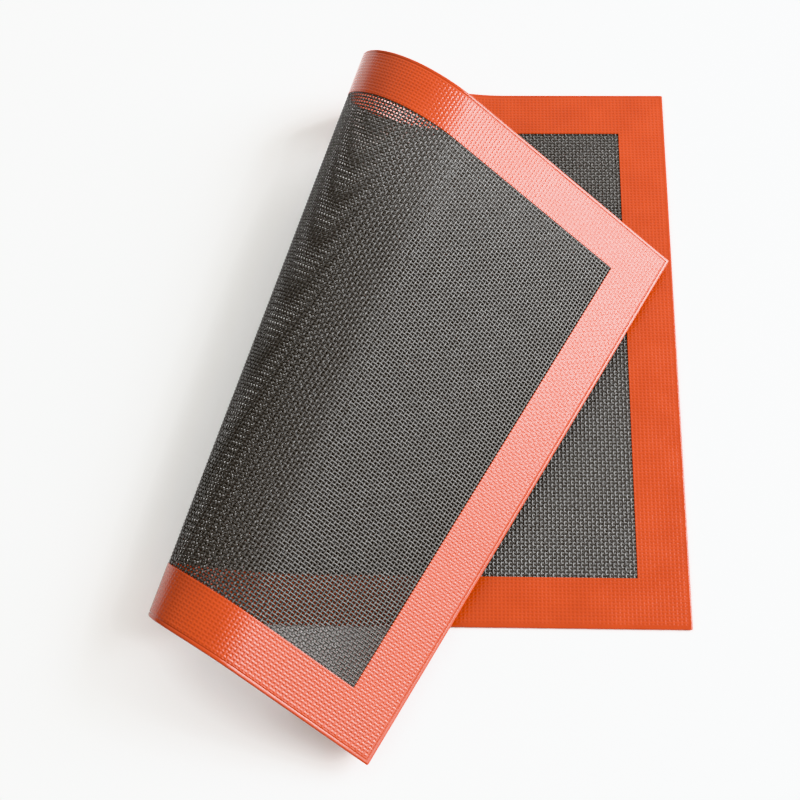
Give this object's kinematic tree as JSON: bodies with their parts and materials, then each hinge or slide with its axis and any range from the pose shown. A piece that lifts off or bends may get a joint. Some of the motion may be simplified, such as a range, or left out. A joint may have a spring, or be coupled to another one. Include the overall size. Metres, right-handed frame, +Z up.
{
  "type": "perforated baking mat",
  "caption": "Flexible baking mat: open dark coated glass-fibre mesh with an orange silicone border, half rolled over itself; rolls up or lies flat.",
  "frame": {"origin": "on the table, under the middle of the right border of the flat part", "axes": "+X to the right across the mat, away from the rolled part, +Y to the back, +Z up"},
  "size_m": [0.2521, 0.367, 0.075],
  "materials": {
    "mesh": "open plain weave of glass yarns coated in black silicone, satin",
    "border": "orange-red silicone with a fine weave relief, soft gloss, smooth rim"
  },
  "bodies": {
    "base": {"mesh_base": "mesh", "border_right": "border", "border_back_base": "border", "border_front_base": "border"},
    "strip_01": {"mesh_01": "mesh", "border_back_01": "border", "border_front_01": "border"},
    "strip_02": {"mesh_02": "mesh", "border_back_02": "border", "border_front_02": "border"},
    "strip_03": {"mesh_03": "mesh", "border_back_03": "border", "border_front_03": "border"},
    "strip_04": {"mesh_04": "mesh", "border_back_04": "border", "border_front_04": "border"},
    "strip_05": {"mesh_05": "mesh", "border_back_05": "border", "border_front_05": "border"},
    "strip_06": {"mesh_06": "mesh", "border_back_06": "border", "border_front_06": "border"},
    "strip_07": {"mesh_07": "mesh", "border_back_07": "border", "border_front_07": "border"},
    "strip_08": {"mesh_08": "mesh", "border_back_08": "border", "border_front_08": "border"},
    "strip_09": {"mesh_09": "mesh", "border_back_09": "border", "border_front_09": "border"},
    "strip_10": {"mesh_10": "mesh", "border_back_10": "border", "border_front_10": "border"},
    "strip_11": {"mesh_11": "mesh", "border_back_11": "border", "border_front_11": "border"},
    "flap": {"mesh_flap": "mesh", "border_left": "border", "border_back_flap": "border", "border_front_flap": "border"}
  },
  "joints": [
    {"name": "bend_01", "type": "hinge", "parent": "base", "child": "strip_01", "pos_m": [-0.139, 0, 0.0006], "axis": [-0.3206, -0.9472, 0], "range_deg": [0, 17.2]},
    {"name": "bend_02", "type": "hinge", "parent": "strip_01", "child": "strip_02", "pos_m": [-0.16681, -0.00039, 0.00871], "axis": [-0.3098, -0.9508, -0.0035], "range_deg": [0, 17.2]},
    {"name": "bend_03", "type": "hinge", "parent": "strip_02", "child": "strip_03", "pos_m": [-0.18267, -0.00139, 0.01881], "axis": [-0.3005, -0.9537, -0.0102], "range_deg": [0, 17.2]},
    {"name": "bend_04", "type": "hinge", "parent": "strip_03", "child": "strip_04", "pos_m": [-0.19029, -0.0027, 0.02744], "axis": [-0.2934, -0.9558, -0.0196], "range_deg": [0, 17.2]},
    {"name": "bend_05", "type": "hinge", "parent": "strip_04", "child": "strip_05", "pos_m": [-0.19333, -0.00407, 0.03387], "axis": [-0.2892, -0.9568, -0.0307], "range_deg": [0, 17.2]},
    {"name": "bend_06", "type": "hinge", "parent": "strip_05", "child": "strip_06", "pos_m": [-0.19422, -0.00564, 0.03937], "axis": [-0.2882, -0.9566, -0.0425], "range_deg": [0, 17.2]},
    {"name": "bend_07", "type": "hinge", "parent": "strip_06", "child": "strip_07", "pos_m": [-0.19346, -0.00781, 0.04504], "axis": [-0.2907, -0.9553, -0.0541], "range_deg": [0, 17.2]},
    {"name": "bend_08", "type": "hinge", "parent": "strip_07", "child": "strip_08", "pos_m": [-0.19076, -0.01083, 0.05084], "axis": [-0.2962, -0.9529, -0.0643], "range_deg": [0, 17.2]},
    {"name": "bend_09", "type": "hinge", "parent": "strip_08", "child": "strip_09", "pos_m": [-0.18555, -0.01502, 0.05638], "axis": [-0.3045, -0.9498, -0.0723], "range_deg": [0, 17.2]},
    {"name": "bend_10", "type": "hinge", "parent": "strip_09", "child": "strip_10", "pos_m": [-0.17724, -0.02064, 0.06071], "axis": [-0.3146, -0.9461, -0.0774], "range_deg": [0, 17.2]},
    {"name": "bend_11", "type": "hinge", "parent": "strip_10", "child": "strip_11", "pos_m": [-0.16556, -0.02783, 0.06232], "axis": [-0.3257, -0.9422, -0.079], "range_deg": [0, 17.2]},
    {"name": "bend_12", "type": "hinge", "parent": "strip_11", "child": "flap", "pos_m": [-0.15083, -0.03646, 0.0593], "axis": [-0.3368, -0.9384, -0.0771], "range_deg": [0, 17.2]}
  ]
}
